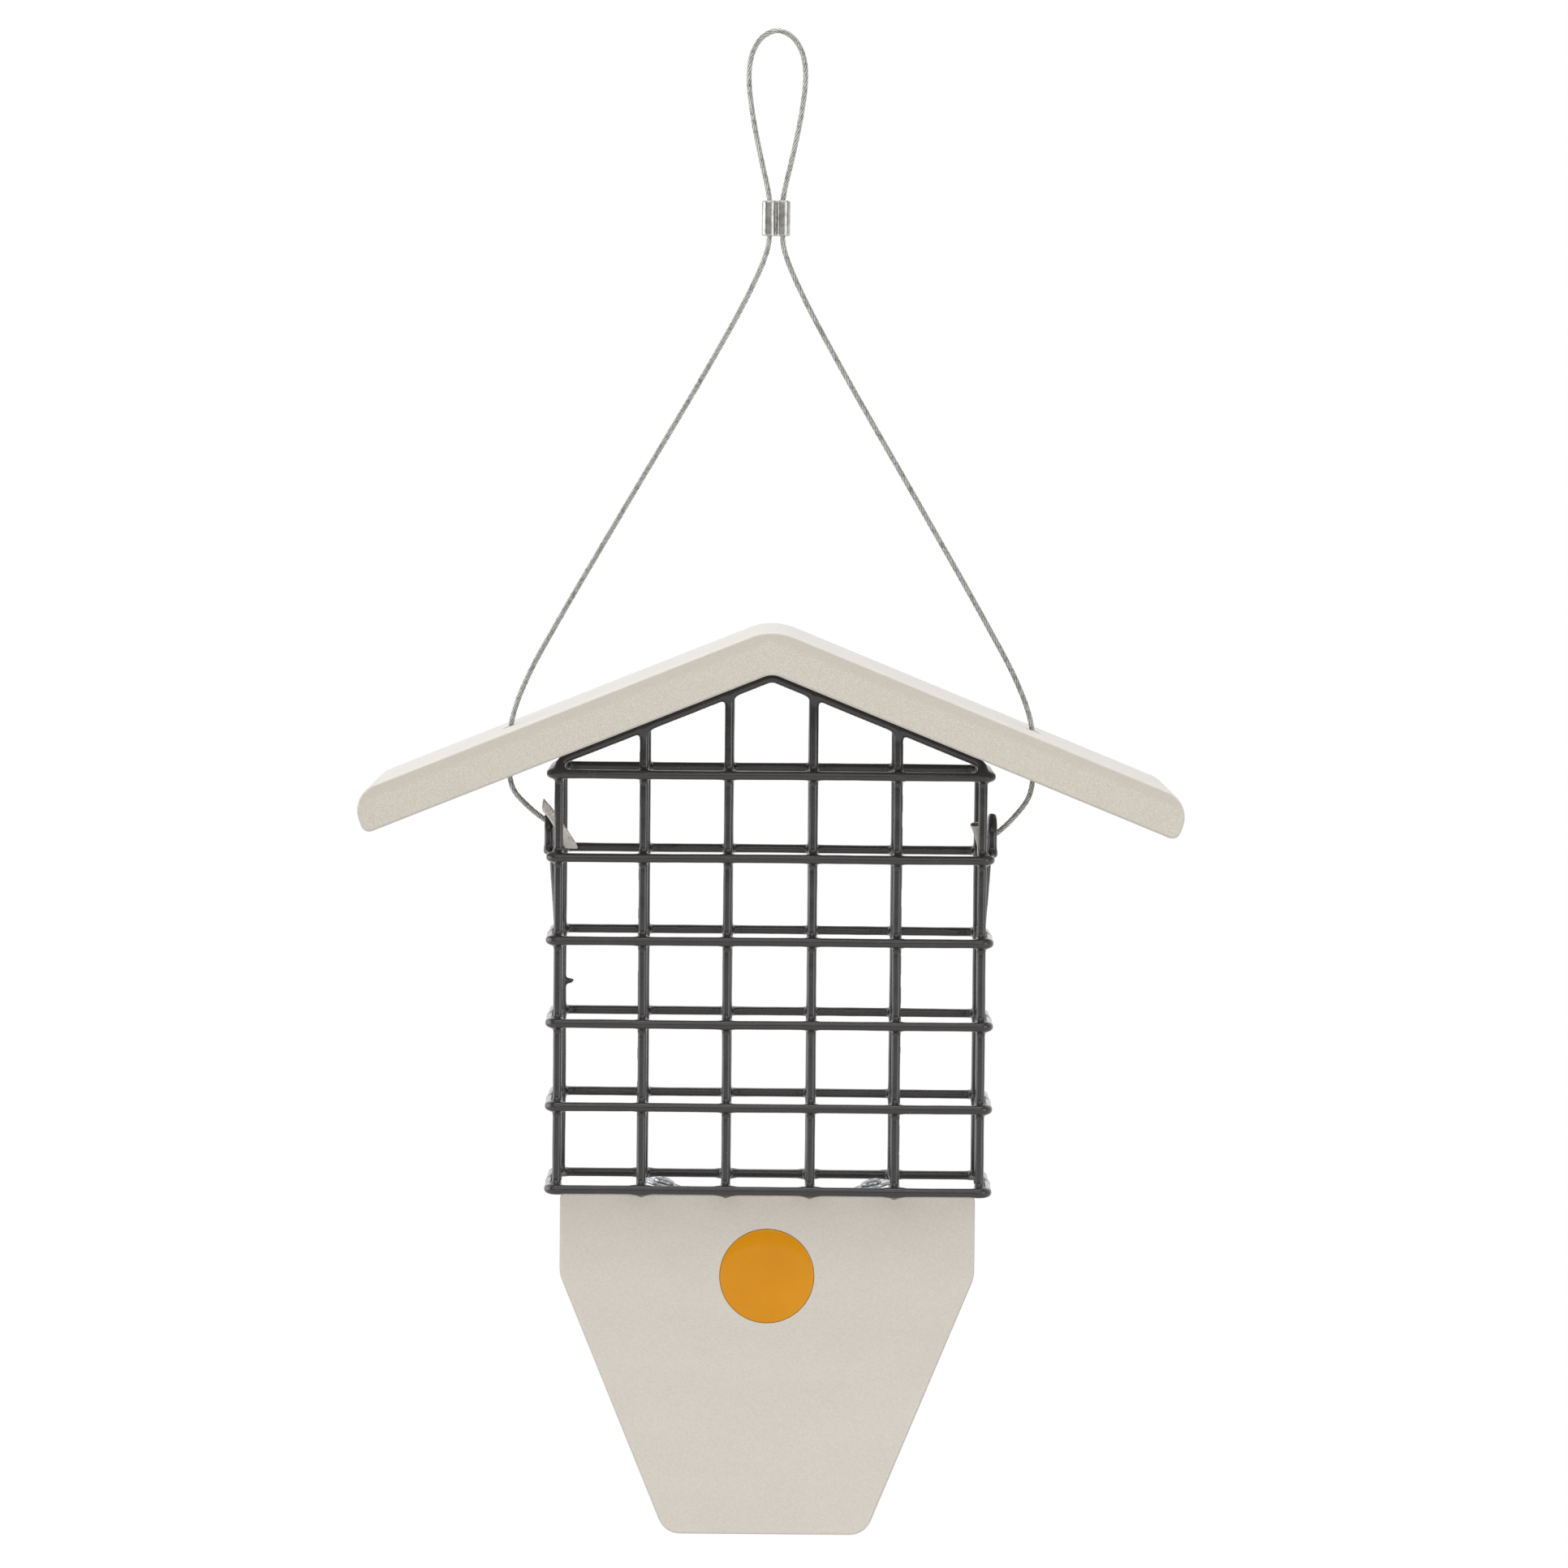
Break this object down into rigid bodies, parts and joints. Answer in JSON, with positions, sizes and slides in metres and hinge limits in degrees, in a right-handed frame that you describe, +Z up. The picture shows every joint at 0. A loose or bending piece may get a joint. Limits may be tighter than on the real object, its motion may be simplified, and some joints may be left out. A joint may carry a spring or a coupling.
{
  "type": "hanging suet feeder",
  "caption": "Hanging suet feeder: a coated wire cage under a gable roof that slides up its cable hanger, with a tapered tail prop below and a badge left bare.",
  "frame": {"origin": "the inside top of the cable's loop, where the feeder hangs on a hook", "axes": "+Z up along the hanging line, +Y to the back through the feeder's least depth, +X to the right seen from the front"},
  "size_m": [0.2454, 0.089, 0.4558],
  "materials": {
    "coated_wire": "thick glossy black dip coating",
    "recycled_board": "warm grey recycled plastic board, faintly mottled and brushed",
    "orange_disc": "domed glossy orange, bare",
    "zinc_fixings": "bright zinc plate",
    "cable_steel": "twisted stainless strands",
    "sleeve_metal": "crimped, satin with bright edges",
    "toggle_steel": "flattened tube, worn satin"
  },
  "bodies": {
    "cage": {"ring_wire_1": "coated_wire", "ring_wire_2": "coated_wire", "ring_wire_3": "coated_wire", "ring_wire_4": "coated_wire", "ring_wire_5": "coated_wire", "ring_wire_6": "coated_wire", "front_gable_frame": "coated_wire", "back_gable_frame": "coated_wire", "upright_wire_1": "coated_wire", "upright_wire_2": "coated_wire", "upright_wire_3": "coated_wire", "upright_wire_4": "coated_wire", "left_cable_eye": "coated_wire", "right_cable_eye": "coated_wire", "left_side_stay": "coated_wire", "right_side_stay": "coated_wire", "tail_prop": "recycled_board", "badge": "orange_disc", "left_prop_screw": "zinc_fixings", "right_prop_screw": "zinc_fixings", "left_prop_washer": "zinc_fixings", "right_prop_washer": "zinc_fixings", "cable_loop": "cable_steel", "left_cable_leg": "cable_steel", "right_cable_leg": "cable_steel", "left_cable_tail": "cable_steel", "right_cable_tail": "cable_steel", "cable_sleeve": "sleeve_metal"},
    "roof": {"roof_board": "recycled_board"},
    "left_toggle_bar": {"left_toggle": "toggle_steel"},
    "right_toggle_bar": {"right_toggle": "toggle_steel"}
  },
  "joints": [
    {"name": "roof_slide", "type": "slide", "parent": "cage", "child": "roof", "axis": [0, 0, 1], "range_m": [0, 0.085], "deforming": ["left_cable_leg", "right_cable_leg", "left_cable_tail", "right_cable_tail"]},
    {"name": "left_toggle_pivot", "type": "hinge", "parent": "cage", "child": "left_toggle_bar", "pos_m": [-0.0639, -0.0082, -0.239], "axis": [0, 1, 0], "range_deg": [-90, 25]},
    {"name": "right_toggle_pivot", "type": "hinge", "parent": "cage", "child": "right_toggle_bar", "pos_m": [0.0628, 0, -0.2421], "axis": [1, 0, 0], "range_deg": [-40, 100]}
  ]
}
